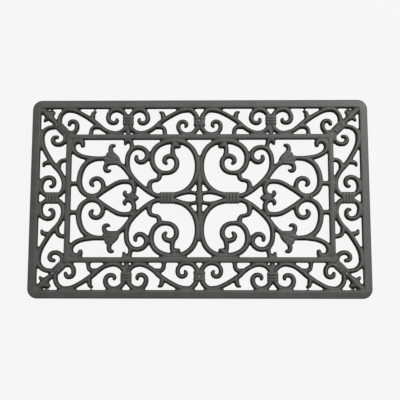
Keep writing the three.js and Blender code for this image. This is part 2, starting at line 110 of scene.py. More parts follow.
# Bars of the casting. Each is a list of (x, y, width) along its middle line, in
# millimetres, drawn at the level of the frames' top as the camera sees it.
fieldBars = {
    "ringAndSpiral": [
        (59, 6.4, 11), (52, 7.5, 11), (38, 12, 10), (26, 19, 11), (14.8, 31, 11.5), (7.4, 48, 11),
        (4.5, 70, 11), (7.3, 89.8, 11.4), (14.4, 105.5, 11.8), (25.9, 116.6, 12), (42, 123.4, 12.5),
        (62, 124.2, 13), (79.6, 119.8, 12), (93.2, 111.1, 12), (101.3, 98.3, 12), (102.9, 85, 12),
        (100.3, 72.5, 11.6), (94.1, 62.5, 12), (84.8, 55.9, 11.9), (72, 54.6, 10), (60, 57.3, 10.2),
        (51.6, 65, 11), (48.9, 75.5, 11.5), (52, 85.9, 11.2), (60.5, 91.3, 11), (69, 90.4, 11.2),
        (74.5, 85.9, 11), (75.2, 79.5, 10.6), (71.6, 75, 7.4),
    ],
    "wavyLink": [
        (86, 57, 10), (86.3, 46.3, 11.2), (89.8, 40.2, 9.4), (97.5, 38, 8.6), (105, 34.8, 10),
        (107.8, 27, 11.2), (106.6, 18, 11.8), (101, 8, 10),
    ],
    "ringStem": [(54.8, 88, 11.4), (57.5, 98, 10.8), (58.2, 107, 10.4), (57, 114, 9.4), (53.5, 122, 11)],
    "ringLeaf": [(54.5, 116, 12), (48, 113.2, 11.2), (43.8, 112, 7.4)],
    "middleBar": [
        (0, -10, 16.4), (0, 6, 16.4), (0, 16, 11.8), (0, 27, 12.2), (0, 36, 13), (0, 60, 8), (0, 91, 6),
    ],
    "almondBar": [
        (-4, 7, 8.6), (9, 10.3, 8.4), (20, 12, 8.6), (32, 11, 9), (44, 7.3, 8.8), (57, 2.4, 9),
    ],
    "heart": [
        (82, 5, 10.6), (90, 4.8, 11.6), (101, 8.9, 11), (112.2, 15.5, 10.5), (122.9, 23.9, 10.4),
        (133.7, 33.4, 10.4), (143.8, 44.6, 10), (151.6, 57, 9.8), (155.6, 70, 10.8),
        (156, 84, 11.2), (153.6, 95.8, 11), (147.5, 104.8, 11), (138.8, 109.9, 11), (130, 110.3, 11),
        (120.4, 106.6, 11), (114.3, 99.5, 11), (113.2, 90.5, 11), (117.7, 82.2, 11.4),
        (125.5, 78.2, 11), (133, 80, 10.2), (137, 85.5, 9.5), (136.4, 91, 8),
    ],
    "heartStem": [(151, 102, 9), (147.2, 110, 9.6), (147.6, 118, 9.6), (150.5, 125, 11), (156, 133, 15)],
    "heartLeaf": [(157, 132, 15), (159, 125, 12), (161.2, 118.6, 7)],
    "tulipStem": [
        (147, 42, 7), (154, 53.3, 8.8), (160.5, 62.4, 9.6), (167.8, 70.1, 9.8), (176, 76.5, 11),
    ],
    "tulipTopPetal": [
        (189, 94, 12), (192, 101, 10.8), (193, 108, 10.4), (190.6, 113.9, 9.4), (185.2, 114.8, 7.6),
    ],
    "tulipLowPetal": [
        (192, 78, 12), (199.5, 74.6, 11.6), (204, 68, 9.6), (202.6, 60.8, 10), (196.6, 58.7, 8.2),
        (192.8, 60.2, 5.4),
    ],
    "stalkAndHook": [
        (200, 86.5, 10), (212, 86.3, 10.4), (224, 86.1, 10.6), (237, 87.4, 10.5), (250, 89.6, 10.6),
        (261.8, 94, 10.6), (271, 101.1, 11), (275.5, 112, 13), (272, 121.6, 14),
        (263, 124.6, 13), (255, 121, 12), (253.9, 114.9, 10),
    ],
    "bigScroll": [
        (216, 86, 10), (226, 85, 10.7), (238, 80.4, 11.5), (248.2, 72.6, 12.2), (254.7, 61.1, 12.2),
        (258.6, 47.3, 12.3), (259.3, 33, 12.8), (255.8, 20, 12.5), (247, 9.4, 11.3),
        (235, 4.6, 10.4), (222.3, 6, 10.2), (212.5, 13.2, 10.4), (207.6, 23.6, 10.4),
        (209.2, 34, 10.6), (215.7, 41.1, 10.4), (224, 42.4, 10.4), (231.2, 38.6, 10.4),
        (233.6, 32, 10), (230, 27, 7.4),
    ],
    "scrollLink": [(256, 31.3, 12), (270, 31.2, 10), (286, 31.3, 13)],
    "wave": [
        (142, 36, 9), (152, 35.4, 10.8), (163, 35.7, 10.8), (174, 33.7, 10.8), (185, 28.4, 10.6),
        (196, 21.6, 10.4), (208, 13.8, 10.6), (220, 5.2, 11), (232, -2, 11),
    ],
    "waveCurl": [  # leaves the wave as a smooth arc
        (156, 35.8, 10), (149.5, 34, 10.6), (144.2, 30.2, 11), (141.2, 24, 11), (140.6, 17.5, 10.8),
        (142.5, 11.2, 10.6), (147, 6.6, 10.4), (153, 4.8, 10), (158.8, 6.4, 9.8), (161, 10.8, 9.2),
        (160, 13.6, 7),
    ],
    "axisBud": [(130, 0, 2.6), (136, 0, 14), (144, 0, 16.4), (150, 0, 12), (157, 0, 5)],
}

# The half of the back band towards the middle, as (distance from the halfway collar,
# distance out from the inner frame, width)
bandInwards = {
    "scroll": [
        (153, 20, 10), (150.4, 29, 11.2), (149.4, 38, 11.2), (144.6, 46.7, 11.2), (136, 53.6, 11.2),
        (124, 54.4, 11.8), (112, 51.2, 10.2), (100.8, 46, 10.2), (88.8, 39.3, 10.2),
        (77, 31.9, 10.8), (68.2, 25.2, 10.8), (59.5, 17.2, 10.1), (48.4, 9.5, 10.2),
        (37.5, 4.8, 10), (26, 3.3, 10.6), (14.6, 6.6, 10.7), (7, 13.6, 10.8), (4, 19.5, 9),
    ],
    "curl": [
        (3.4, 37.5, 11), (8.9, 47.1, 10.6), (17.4, 53.5, 11.2), (28, 54.7, 11.4), (36.4, 50.3, 11),
        (41.4, 42.3, 11), (42.2, 33.6, 10.6), (38.7, 28, 10), (32, 25.3, 10),
        (25.3, 27.6, 9.4), (23.3, 32.2, 8), (24.4, 35, 5.8),
    ],
    "leaf": [(77.6, 30, 11.6), (76, 41, 10.8), (73.9, 47.4, 10), (69, 50, 5.2)],
    "link": [(63, 17, 11), (72, 16.8, 9.8), (77.6, 13, 9.8), (79.6, 6.4, 9.7), (79.8, -3, 10)],
}

# The half towards the corner, in the same way. It is drawn out a little at its leaf.
bandOutwards = {
    "scroll": [
        (153, 20, 10), (150.6, 29, 11), (150, 38, 11), (145.4, 47.1, 10.8), (136, 54, 11),
        (124, 54.8, 11.4), (112, 51.2, 10.2), (101, 45.5, 10.2), (89.3, 38.7, 10.4),
        (78, 31.2, 11.6), (69.2, 24.4, 11.6), (59.8, 16.5, 11), (48.9, 8.9, 10.3),
        (37.5, 4.6, 10.2), (26, 3.1, 10.4), (14.4, 6.6, 10.7), (7, 13.6, 10.8), (4, 19.5, 9),
    ],
    "curl": [
        (3.4, 37.5, 11), (9, 47, 10.6), (17.4, 53.4, 11.2), (28, 55.1, 10.9), (38.1, 51.1, 11.2),
        (43.3, 42.5, 11), (43.3, 33.8, 10.6), (39.1, 28, 10.4), (32.4, 26.1, 9.8),
        (26.3, 28, 9.2), (24.7, 32.3, 8.2), (25.8, 34.9, 5.8),
    ],
    "leaf": [(79, 30, 11.6), (78, 41, 10.6), (76.3, 48.1, 9.8), (71.6, 50.9, 5)],
    "link": [(64, 17, 11), (72.6, 16.8, 10.2), (78.7, 13, 9.8), (80.9, 6.4, 9), (81, -3, 11)],
}

# The curl beside the inner frame at the middle of the back, laid inwards too
middleCurl = [
    (152, 20.2, 11), (148.2, 10.8, 10.8), (139.4, 3, 9.8), (128, 0.6, 9.6), (117.8, 3.4, 9.6),
    (111.2, 10, 9.7), (109.4, 19, 9.8), (112.4, 26.4, 9.6), (119, 28.9, 9.8), (125, 26.6, 9.2),
    (126.9, 21.3, 8.6), (124.8, 17.5, 6.4),
]

# The band up the side, as (distance out from the inner frame, y, width)
sideBars = {
    "scroll": [
        (20, 158.2, 10), (29, 156, 10.2), (38, 154.8, 10.2), (46.8, 149.9, 10.8), (53.6, 140.8, 12.6),
        (54.8, 128.5, 12.7), (52.1, 116, 11.4), (47, 104.2, 10.8), (38.9, 90.2, 10.8),
        (31, 77.5, 11.2), (23.6, 69, 11.6), (15.5, 59.8, 11), (8.8, 48.7, 10.5),
        (4.6, 37.7, 10.6), (3.6, 26.2, 10.9), (7.2, 14.1, 11.2), (14.5, 6.4, 11), (24, 3, 10.4),
    ],
    "curl": [
        (36.5, 3.2, 10.6), (46.1, 8.9, 10), (52.9, 17.3, 12.2), (53.7, 28.5, 12.8),
        (49.6, 38.3, 11.6), (41.7, 43.9, 10.4), (33, 44.3, 10.4), (26.8, 40.2, 10.4),
        (25, 33.4, 9.8), (27.2, 27.2, 9.2), (31.5, 25, 8), (34, 25.8, 5.6),
    ],
    "leaf": [(30, 78.7, 11.4), (41, 77.2, 10.6), (47.3, 75.2, 9.6), (49, 70, 6)],
    "link": [(17, 64.8, 11.4), (15.5, 73.8, 10.6), (11.8, 79.8, 10), (5, 82.4, 9.6), (-4, 82.5, 11)],
}

# The two curls at a corner collar, as (x, y, width) again
cornerCurls = {
    "back": [
        (301.3, 154, 10), (291.3, 147, 10.4), (281.8, 143.3, 10.4), (274.4, 144.2, 10.6),
        (269.1, 149.6, 10.6), (267.1, 158, 10.6), (269.3, 165.4, 10.2), (275.2, 168.9, 10),
        (282.2, 167.3, 9.8), (284.6, 161.4, 8.2),
    ],
    "side": [
        (303.6, 152.4, 9.6), (296.4, 143, 8.8), (292.8, 133, 8.6), (293.7, 125.2, 10.2),
        (299.5, 119.3, 10.4), (308, 117.3, 10), (315.8, 120, 10.2), (319.3, 126.4, 10.2),
        (317.2, 132.4, 9.4), (309.9, 134, 8.4),
    ],
}

# The folded leaf between a corner collar and the frame's corner
cornerLeaf = {
    "spine": [
        (303.5, 153.5, 14), (311, 161.8, 12.6), (318.2, 169.4, 11.8), (327, 177.5, 15.4),
        (334, 185, 15), (340, 191, 13.4), (348, 199, 14),
    ],
    "backLobe": [(324, 177.4, 12), (322.3, 183.2, 8.6), (318.4, 188.6, 6.6)],
    "backFold": [(334, 186.4, 12.6), (326, 187.3, 9.4), (319.6, 188.7, 7)],
    "sideLobe": [(327, 176, 10), (332.5, 174.8, 9), (337.6, 171.2, 8.2), (338.8, 168.9, 5)],
}

# A tulip's bell is a flat flower with petals lying over it
tulipBell = [
    (167, 72.5), (169.8, 78.5), (171.2, 83), (172.8, 87.2), (175.4, 91.2), (179, 94.9), (183, 98.4),
    (186.8, 102.8), (196, 102.8), (197.3, 100.2), (200.2, 98.9), (201.4, 96.6), (201.8, 93.6),
    (203.6, 91.9), (208, 91.4), (208, 80.6), (205.5, 77), (204.8, 72.4), (198, 71), (190, 71.2),
    (178, 71.2), (172, 68.6),
]
tulipPetals = [
    [(176, 82, 6), (183, 91, 8), (189.5, 99.5, 8)],
    [(180, 84, 5), (188, 88.6, 6.4), (195, 92, 8), (198, 94.4, 6)],
    [(180, 81, 5), (188, 81.8, 6), (196, 82.2, 6.6), (205, 85, 8)],
    [(178, 76.5, 5), (188, 75.9, 5.4), (198, 75.6, 6.6)],
]

# The collars that seem to tie the scrolls together. Each has a flat core and ribs that wrap
# over it: middle, direction of the row in degrees, the core's length, width and height (a
# share of the iron's), the ribs' places along the row and their width.
collars = {
    "fieldKnot": {
        "middle": (70.5, 0), "row": 0, "core": (30, 23.6, 0.79),
        "ribs": (-10.2, -3.4, 3.4, 10.2), "rib": 5.2,
    },
    "scrollKnot": {
        "middle": (232, 0), "row": 0, "core": (22, 12.4, 0.74), "ribs": (-6.8, 0, 6.8), "rib": 4.6,
    },
    "backMiddle": {
        "middle": (0, 167.3), "row": 90, "core": (20, 23.8, 0.76), "ribs": (-7.2, 7.2), "rib": 4.2,
    },
    "backHalfway": {
        "middle": (155.25, 169.5), "row": 90, "core": (20, 22.4, 0.81),
        "ribs": (-6, 0, 6), "rib": 4.6,
    },
    "side": {
        "middle": (318, 0), "row": 0, "core": (28, 23.8, 0.83),
        "ribs": (-9.9, -3.3, 3.3, 9.9), "rib": 4.9,
    },
    "corner": {
        "middle": (299.8, 151.2), "row": 45, "core": (31, 17.8, 0.78),
        "ribs": (-8, -4, 0, 4, 8), "rib": 3,
    },
}
collarFacts = {
    "proud": 1.1,  # how far the ribs stand out past the core
    "ribHeight": 0.97,  # shares of the iron's height
    "petalHeight": 0.95,
    "bellHeight": 0.84,
    "legHeight": 0.66,
    "bossHeight": 0.9,
    "bellEdge": 3.3,  # rounding of the bell's rim
    "bellEdgeSteps": 3,
    "archSteps": 14,
    "archRoundness": 0.4,  # from 1 for a round arch to 0 for a square one
    "wireSides": 16,
    "wireRoundness": 0.62,
}

# Legs that join a collar to the inner frame, as (x, y, width)
collarLegs = {
    "halfway": [(154.9, 132, 12), (154.9, 141, 9.6), (155.25, 148, 11.4), (155.25, 160, 18)],
    "middle": [(0, 150.5, 11), (0, 155, 18), (0, 161, 22)],
}
rivetBoss = [(-9, 166.5, 14), (9, 166.5, 14)]  # round the rivet of the middle collar

castingFacts = {
    "patternScale": 1.0029,  # the bars' feet lie lower than the frames' top, so they look smaller
    "thicken": 0.85,  # added to the width of every bar, because smoothing takes it off again
    "barHeight": 0.95,  # shares of the iron's height
    "leafHeight": 0.95,
    "halfLength": castingHigh.x / mm,
    "halfWidth": castingHigh.y / mm,
    "cornerRadius": 20.6,
    "frameWidth": 18.3,
    "innerFrame": (289.8, 139.4),  # outside corner
    "innerFrameWidth": 12.0,
    "bandOrigin": (289, 139),  # where distances out from the inner frame are drawn from
    "halfwayCollar": 155.25,
    "pastAxis": 5,  # how far the frames run on past the middle of a side, to be cut there
    "arcSteps": 9,  # in the frame's rounded corner
    "voxel": 0.6 * mm,
    "quickVoxel": 1.2 * mm,
    "fillet": 1.3 * mm,  # the metal left in every inside corner
    "smoothing": 0.5,
    "smoothSteps": 4,
    "triangles": 48000,  # in one quarter, before it is cut at the axes
}

# Half sections of bars as (share of half the width, height as a share of the width). Heights
# near the iron's own are pressed down to it afterwards, so thin tips stay lower.
roundSection = [
    (1, 0), (0.93, 0.21), (0.81, 0.4), (0.65, 0.59), (0.46, 0.78), (0.26, 0.95), (0.1, 1.06),
    (0.03, 1.09),
]
blockSection = [(1, 0), (0.97, 0.4), (0.9, 0.66), (0.8, 0.9), (0.66, 1.1), (0.4, 1.16)]
leafSection = [(1, 0), (0.96, 0.2), (0.8, 0.38), (0.5, 0.56), (0.25, 0.69), (0.04, 0.76)]

# Whole sections of the two frames as (share of half the width, height in mm), from the
# outside edge to the inside one. The outer frame's top slopes down to the outside.
frameSection = [
    (-1, 0), (-1, 6.8), (-0.96, 7.7), (-0.85, 8.4), (-0.6, 9), (0, 9.95), (0.5, 10.75),
    (0.8, 10.5), (0.95, 9.3), (1, 7.6), (1, 0),
]
innerFrameSection = [
    (-1, 0), (-1, 6.6), (-0.93, 8.6), (-0.75, 9.9), (-0.4, 10.6), (0.4, 10.6), (0.75, 9.9),
    (0.93, 8.6), (1, 6.6), (1, 0),
]


curveSteps = 6  # from one point of a smooth bar to the next


def curveObject(name, splines, kind="POLY", closed=False):
    bpy.ops.curve.primitive_bezier_curve_add()
    curve = bpy.context.object
    curve.name = name
    curve.data.splines.clear()
    curve.data.dimensions = "3D"
    for places in splines:
        spline = curve.data.splines.new(kind)
        if kind == "POLY":
            spline.points.add(len(places) - 1)
            for point, (x, y, z) in zip(spline.points, places):
                point.co = (x * mm, y * mm, z * mm, 1)
        else:
            spline.bezier_points.add(len(places) - 1)
            for point, (x, y, z) in zip(spline.bezier_points, places):
                point.co = (x * mm, y * mm, z * mm)
                point.handle_left_type = point.handle_right_type = "AUTO"
            spline.resolution_u = curveSteps
        spline.use_cyclic_u = closed
    return curve


def sectionCurve(name, halfSection):  # of width 1, so that a point's radius is the bar's width
    outline = halfSection + [(-across, rise) for across, rise in reversed(halfSection)]
    return curveObject(name, [[(across / 2, rise, 0) for across, rise in outline]], closed=True)


def frameCurve(name, section, width):
    return curveObject(name, [[(share * width / 2, rise, 0) for share, rise in section]], closed=True)


def squared(share, roundness):  # pushes a sine or cosine towards 1 or -1
    return math.copysign(abs(share) ** roundness, share)


def wireCurve(name):  # a wire's section of width 1, a little flattened on four sides
    sides, roundness = collarFacts["wireSides"], collarFacts["wireRoundness"]
    outline = []
    for side in range(sides):
        angle = 2 * math.pi * side / sides
        x, y = squared(math.cos(angle), roundness), squared(math.sin(angle), roundness)
        outline.append((x / 2, y / 2, 0))
    return curveObject(name, [outline], closed=True)


def layBars(name, bars, section, kind="BEZIER"):  # bars of (x, y, width) or (x, y, width, z)
    places = [[(x, y, height[0] if height else 0) for x, y, _, *height in bar] for bar in bars]
    curve = curveObject(name, places, kind)
    curve.data.twist_mode = "Z_UP"
    for spline, bar in zip(curve.data.splines, bars):
        points = spline.points if kind == "POLY" else spline.bezier_points
        for point, place in zip(points, bar):
            point.radius = place[2]
    curve.data.bevel_mode = "OBJECT"
    curve.data.bevel_object = section
    curve.data.use_fill_caps = True
    pick(curve)
    bpy.ops.object.convert(target="MESH")
    bpy.data.objects.remove(section)
    return bpy.context.object


# A bar's round end as (distance past its last point, width), in shares of the last width
roundTip = ((0.28, 0.84), (0.46, 0.36))


def withRoundTip(bar):
    (x0, y0, _), (x, y, width) = bar[-2:]
    ahead = Vector((x - x0, y - y0)).normalized() * width
    return bar + [(x + ahead.x * past, y + ahead.y * past, width * wide) for past, wide in roundTip]


def placed(bars, facts, tips=True):  # bars at their real places and widths
    scale = facts["patternScale"]
    ended = [withRoundTip(bar) if tips else bar for bar in bars]
    return [[(x * scale, y * scale, width + facts["thicken"]) for x, y, width in bar] for bar in ended]


def patternBars(facts):
    outX, outY = facts["bandOrigin"]
    halfway = facts["halfwayCollar"]
    bars = list(fieldBars.values()) + list(cornerCurls.values())
    for side, band in ((-1, [*bandInwards.values(), middleCurl]), (1, bandOutwards.values())):
        bars += [[(halfway + side * along, outY + out, w) for along, out, w in bar] for bar in band]
    bars += [[(outX + out, y, w) for out, y, w in bar] for bar in sideBars.values()]
    return placed(bars, facts)


def collarCore(collar, facts):
    turn = math.radians(collar["row"])
    along = Vector((math.cos(turn), math.sin(turn)))
    length, width, _ = collar["core"]
    ends = [Vector(collar["middle"]) + along * reach for reach in (-length / 2, length / 2)]
    return placed([[(*end, width) for end in ends]], facts, tips=False)


def archPlaces(reach, high):  # (across, height) over a half turn with a flattened top
    steps, roundness = collarFacts["archSteps"], collarFacts["archRoundness"]
    places = []
    for step in range(steps + 1):
        angle = math.pi * step / steps
        across = squared(math.cos(angle), roundness)
        places.append((across * reach, squared(math.sin(angle), roundness) * high))
    return places


def wrappedRibs(facts):  # arches of wire over the collars' cores
    scale = facts["patternScale"]
    ribs = []
    for collar in collars.values():
        turn = math.radians(collar["row"])
        along = Vector((math.cos(turn), math.sin(turn)))
        across = Vector((-along.y, along.x))
        width = collar["rib"]
        reach = collar["core"][1] / 2 + collarFacts["proud"] - width / 2
        arch = archPlaces(reach, collarFacts["ribHeight"] * ironHeight - width / 2)
        for place in collar["ribs"]:
            middle = Vector(collar["middle"]) + along * place
            ribs.append([(*((middle + across * out) * scale), width, z) for out, z in arch])
    return ribs


def petalRibs(facts):
    top = collarFacts["petalHeight"] * ironHeight
    petals = placed([withRoundTip(bar) for bar in tulipPetals], facts, tips=False)
    return [[(x, y, width, top - width / 2) for x, y, width in bar] for bar in petals]


def frameLine(facts):  # the outer frame's middle line, from past one axis to past the other
    past, steps = facts["pastAxis"], facts["arcSteps"]
    width = facts["frameWidth"]
    x = facts["halfLength"] - width / 2
    y = facts["halfWidth"] - width / 2
    radius = facts["cornerRadius"] - width / 2
    arc = [math.radians(90 * (1 - step / steps)) for step in range(steps + 1)]
    turn = [(x + radius * (math.cos(a) - 1), y + radius * (math.sin(a) - 1), 1) for a in arc]
    return [(-past, y, 1), *turn, (x, -past, 1)]


def innerFrameLines(facts):
    past = facts["pastAxis"]
    x, y = facts["innerFrame"]
    inset = facts["innerFrameWidth"] / 2
    return [[(-past, y - inset, 1), (x, y - inset, 1)], [(x - inset, y, 1), (x - inset, -past, 1)]]


def pressDown(obj, share, kneeShare=0.7):
    # heights near the top are pressed towards it, as a worn pattern's crests are
    height = share * ironHeight * mm
    knee = kneeShare * height
    for vertex in obj.data.vertices:
        over = vertex.co.z - knee
        if over > 0:
            vertex.co.z = knee + (height - knee) * (1 - math.exp(-over / (height - knee)))


def pressedBars(name, bars, section, share, kind="BEZIER"):
    bars = layBars(name, bars, sectionCurve("barSection", section), kind)
    pressDown(bars, share)
    return bars


def makeBell(facts):
    scale = facts["patternScale"]
    bell = curveObject("tulipBell", [[(x * scale, y * scale, 0) for x, y in tulipBell]], closed=True)
    rim = collarFacts["bellEdge"] * mm
    thickness = collarFacts["bellHeight"] * ironHeight * mm
    bell.data.dimensions = "2D"
    bell.data.fill_mode = "BOTH"
    bell.data.extrude = thickness / 2 - rim
    bell.data.bevel_depth = rim
    bell.data.bevel_resolution = collarFacts["bellEdgeSteps"]
    bell.data.offset = -rim
    pick(bell)
    bpy.ops.object.convert(target="MESH")
    bell = bpy.context.object
    moveTo(bell, (0, 0, thickness / 2))
    return bell


def remesh(obj, voxel):
    applyModifier(obj, "REMESH", mode="VOXEL", voxel_size=voxel, adaptivity=0)


def joined(name, parts):
    pick(*parts)
    bpy.ops.object.join()
    bpy.context.object.name = name
    return bpy.context.object


def spun(name, profile, steps=48):  # a closed profile of (radius, height) in mm, turned round Z
    curve = curveObject(name, [[(radius, 0, z) for radius, z in profile]], closed=True)
    pick(curve)
    bpy.ops.object.convert(target="MESH")
    bpy.ops.object.mode_set(mode="EDIT")
    bpy.ops.mesh.select_all(action="SELECT")
    bpy.ops.mesh.spin(steps=steps, angle=2 * math.pi, center=(0, 0, 0), axis=(0, 0, 1))
    bpy.ops.mesh.select_all(action="SELECT")
    bpy.ops.mesh.remove_doubles(threshold=mergeDistance)
    bpy.ops.mesh.normals_make_consistent(inside=False)
    bpy.ops.object.mode_set(mode="OBJECT")
    return bpy.context.object


def middleOf(node):
    low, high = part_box(node)
    return (low + high) / 2


rivetHoleFacts = {
    "radius": 2.8,
    "mouth": 3.7,  # where the hole opens for the rivet's rolled end
    "mouthDepth": 1.2,
    "past": 2,  # how far the cutter stands out of the iron, above and below
    "nodes": ("rivet_back_middle", "rivet_back_right"),  # the two in this quarter
}


def cutRivetHoles(casting, facts):
    past = facts["past"]
    bottom = ironBottom / mm - past
    top = ironTop / mm
    radius, mouth = facts["radius"], facts["mouth"]
    profile = [
        (0, bottom), (radius, bottom), (radius, top - facts["mouthDepth"]), (mouth, top),
        (mouth, top + past), (0, top + past),
    ]
    cutters = []
    for node in facts["nodes"]:
        cutters.append(spun("rivetHole", profile))
        moveTo(cutters[-1], (middleOf(node).x, middleOf(node).y, 0))
    cutter = joined("rivetHoles", cutters)
    applyModifier(casting, "BOOLEAN", object=cutter, operation="DIFFERENCE", solver="EXACT")
    bpy.data.objects.remove(cutter)


def makeCasting(facts):
    voxel = facts["voxel"]
    leaf = placed(cornerLeaf.values(), facts)
    legs = placed(collarLegs.values(), facts, tips=False)
    boss = placed([rivetBoss], facts, tips=False)
    outerSection = frameCurve("frameSection", frameSection, facts["frameWidth"])
    innerSection = frameCurve("innerFrameSection", innerFrameSection, facts["innerFrameWidth"])
    parts = [
        pressedBars("scrollBars", patternBars(facts), roundSection, facts["barHeight"]),
        pressedBars("cornerLeaf", leaf, leafSection, facts["leafHeight"]),
        pressedBars("collarLegs", legs, roundSection, collarFacts["legHeight"]),
        pressedBars("rivetBoss", boss, roundSection, collarFacts["bossHeight"], "POLY"),
        layBars("outerFrame", [frameLine(facts)], outerSection, "POLY"),
        layBars("innerFrame", innerFrameLines(facts), innerSection, "POLY"),
        makeBell(facts),
    ]
    for collar in collars.values():
        core = collarCore(collar, facts)
        parts.append(pressedBars("collarCore", core, blockSection, collar["core"][2], "POLY"))
    casting = joined("ironScrollwork", parts)
    print("bars laid:", len(casting.data.polygons), "faces")

    remesh(casting, voxel)
    for distance in (facts["fillet"], -facts["fillet"]):  # out and in again leaves the corners filled
        applyModifier(casting, "DISPLACE", strength=distance, mid_level=0)
        remesh(casting, voxel)
    ribs = layBars("wrappedRibs", wrappedRibs(facts) + petalRibs(facts), wireCurve("wireSection"))
    casting = joined("ironScrollwork", [ribs, casting])
    remesh(casting, voxel)
    print("remeshed:", len(casting.data.polygons), "faces")
    applyModifier(casting, "SMOOTH", factor=facts["smoothing"], iterations=facts["smoothSteps"])
    ratio = facts["triangles"] / (2 * len(casting.data.polygons))  # each face is two triangles
    applyModifier(casting, "DECIMATE", ratio=min(1, ratio))
    print("thinned:", len(casting.data.polygons), "faces")

    moveTo(casting, (0, 0, ironBottom))
    cutRivetHoles(casting, rivetHoleFacts)
    pick(casting)
    bpy.ops.object.mode_set(mode="EDIT")
    for normal in ((-1, 0, 0), (0, -1, 0)):
        bpy.ops.mesh.select_all(action="SELECT")
        bpy.ops.mesh.bisect(plane_co=(0, 0, 0), plane_no=normal, clear_outer=True)
    bpy.ops.object.mode_set(mode="OBJECT")
    mirror = {"use_axis": (True, True, False), "use_clip": True, "merge_threshold": mergeDistance}
    applyModifier(casting, "MIRROR", **mirror)
    pick(casting)
    bpy.ops.object.shade_smooth()
    return casting


casting = makeCasting(castingFacts)
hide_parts("scroll_casting")
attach(casting, "root")
print("casting made:", len(casting.data.polygons), "faces")


# The feet and their rivets, as closed profiles of (radius, height above the floor)
roundFacts = {
    "sites": ("front_left", "front_middle", "front_right", "back_left", "back_middle", "back_right"),
    "footProfile": [
        (2.8, 2.6), (5.5, 2.6), (5.5, 0), (7.5, 0), (8.3, 1.5), (8.8, 2.6), (9, 3.4), (9, 5), (2.8, 5),
    ],
    "footBevel": 0.35,
    "rivetProfile": [
        (0, 1.2), (4.1, 1.2), (4.75, 1.6), (4.6, 2.1), (4.1, 2.3), (2.5, 2.3), (2.5, 14.4), (2.7, 14.9),
        (3.2, 15.4), (3.4, 15.7), (3.2, 15.95), (2.8, 16), (2.4, 15.85), (2.1, 15.5), (1.9, 15),
        (1.9, 8.4), (1.5, 7.8), (0, 7.6),
    ],
    "rivetBevel": 0.08,
    "bevelSegments": 2,
    "smoothAngle": 40,  # degrees: sharper edges than this stay sharp
    "boreRadius": 2.05,  # faces nearer the axis than this are bare metal
}


def makeRounds(kind, node, profile, bevel):  # one spun piece, copied to all six sites
    model = spun(kind, profile)
    segments = roundFacts["bevelSegments"]
    applyModifier(model, "BEVEL", width=bevel * mm, segments=segments, limit_method="ANGLE")
    bpy.ops.object.shade_smooth_by_angle(angle=math.radians(roundFacts["smoothAngle"]))
    pieces = []
    for site in roundFacts["sites"]:
        pick(model)
        bpy.ops.object.duplicate()
        piece = bpy.context.object
        piece.name = f"{kind}_{site}"
        middle = middleOf(f"{node}_{site}")
        moveTo(piece, (middle.x, middle.y, 0))
        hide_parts(f"{node}_{site}")
        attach(piece, "root")
        pieces.append(piece)
    bpy.data.objects.remove(model)
    return pieces


feet = makeRounds(
    "rubberFoot", "foot", roundFacts["footProfile"], roundFacts["footBevel"]
)
rivets = makeRounds(
    "tubeRivet", "rivet", roundFacts["rivetProfile"], roundFacts["rivetBevel"]
)
print("feet and rivets made")


# Materials
def addNode(material, kind, inputs=None, **settings):
    node = material.node_tree.nodes.new(kind)
    for key, value in settings.items():
        setattr(node, key, value)
    for key, value in (inputs or {}).items():
        node.inputs[key].default_value = value
    return node


def link(material, source, target):
    material.node_tree.links.new(source, target)


def newMaterial(name):
    material = bpy.data.materials.new(name)
    material.use_nodes = True
    shader = material.node_tree.nodes["Principled BSDF"]
    place = addNode(material, "ShaderNodeTexCoord")
    return material, shader, place.outputs["Object"]


noiseSpan = {"From Min": 0.3, "From Max": 0.7}  # nearly all of a noise lies in here


def noise(material, place, scale, detail, low, high):  # a cloudy value between low and high
    cloud = addNode(material, "ShaderNodeTexNoise", {"Scale": scale, "Detail": detail})
    spread = addNode(material, "ShaderNodeMapRange", {**noiseSpan, "To Min": low, "To Max": high})
    link(material, place, cloud.inputs["Vector"])
    link(material, cloud.outputs["Fac"], spread.inputs["Value"])
    return spread.outputs["Result"]


mixInputs = (6, 7)  # a Mix node's colours go by number, because its sockets share names
mixOutput = 2


def mixed(material, factor, low, high, blendType="MIX"):  # colours, or sockets that give them
    blend = addNode(material, "ShaderNodeMix", data_type="RGBA", blend_type=blendType)
    for number, colour in zip(mixInputs, (low, high)):
        socket = blend.inputs[number]
        if isinstance(colour, tuple):
            socket.default_value = colour
        else:
            link(material, colour, socket)
    if isinstance(factor, float):
        blend.inputs["Factor"].default_value = factor
    else:
        link(material, factor, blend.inputs["Factor"])
    return blend.outputs[mixOutput]


def roughen(material, shader, place, scale, strength, distance, detail=3):  # grain as a bump
    grain = addNode(material, "ShaderNodeTexNoise", {"Scale": scale, "Detail": detail})
    bump = addNode(material, "ShaderNodeBump", {"Strength": strength, "Distance": distance})
    link(material, place, grain.inputs["Vector"])
    link(material, grain.outputs["Fac"], bump.inputs["Height"])
    link(material, bump.outputs["Normal"], shader.inputs["Normal"])


# The iron's base colour carries painted light: faces that look up get a lighter colour as a painted
# highlight, and faces that look sideways a darker one as painted shade.
ironFacts = {
    "paintedCrestHighlight": (0.128, 0.127, 0.121, 1),  # painted highlight: a lighter colour on faces that look up
    # painted shade: a darker colour on faces that look sideways
    "paintedFlankShade": (0.058, 0.058, 0.055, 1),
    "highlightStartsAt": 0.72,  # how far a face must look up to take only the painted shade, and only the painted highlight
    "highlightFullAt": 0.985,
    "mottle": 45,  # patches per metre
    "mottleDetail": 5,
    "mottleLow": (0.82, 0.82, 0.83, 1),
    "mottleHigh": (1.1, 1.1, 1.08, 1),
    "speckle": 900,
    "speckleDetail": 2,
    "speckleLow": (0.8, 0.8, 0.8, 1),
    "speckleHigh": (1.18, 1.18, 1.17, 1),
    "roughness": (0.48, 0.66),
    "roughnessDetail": 4,
    "grain": 1100,  # sand grains per metre
    "grainStrength": 0.4,
    "grainDepth": 0.3 * mm,
}


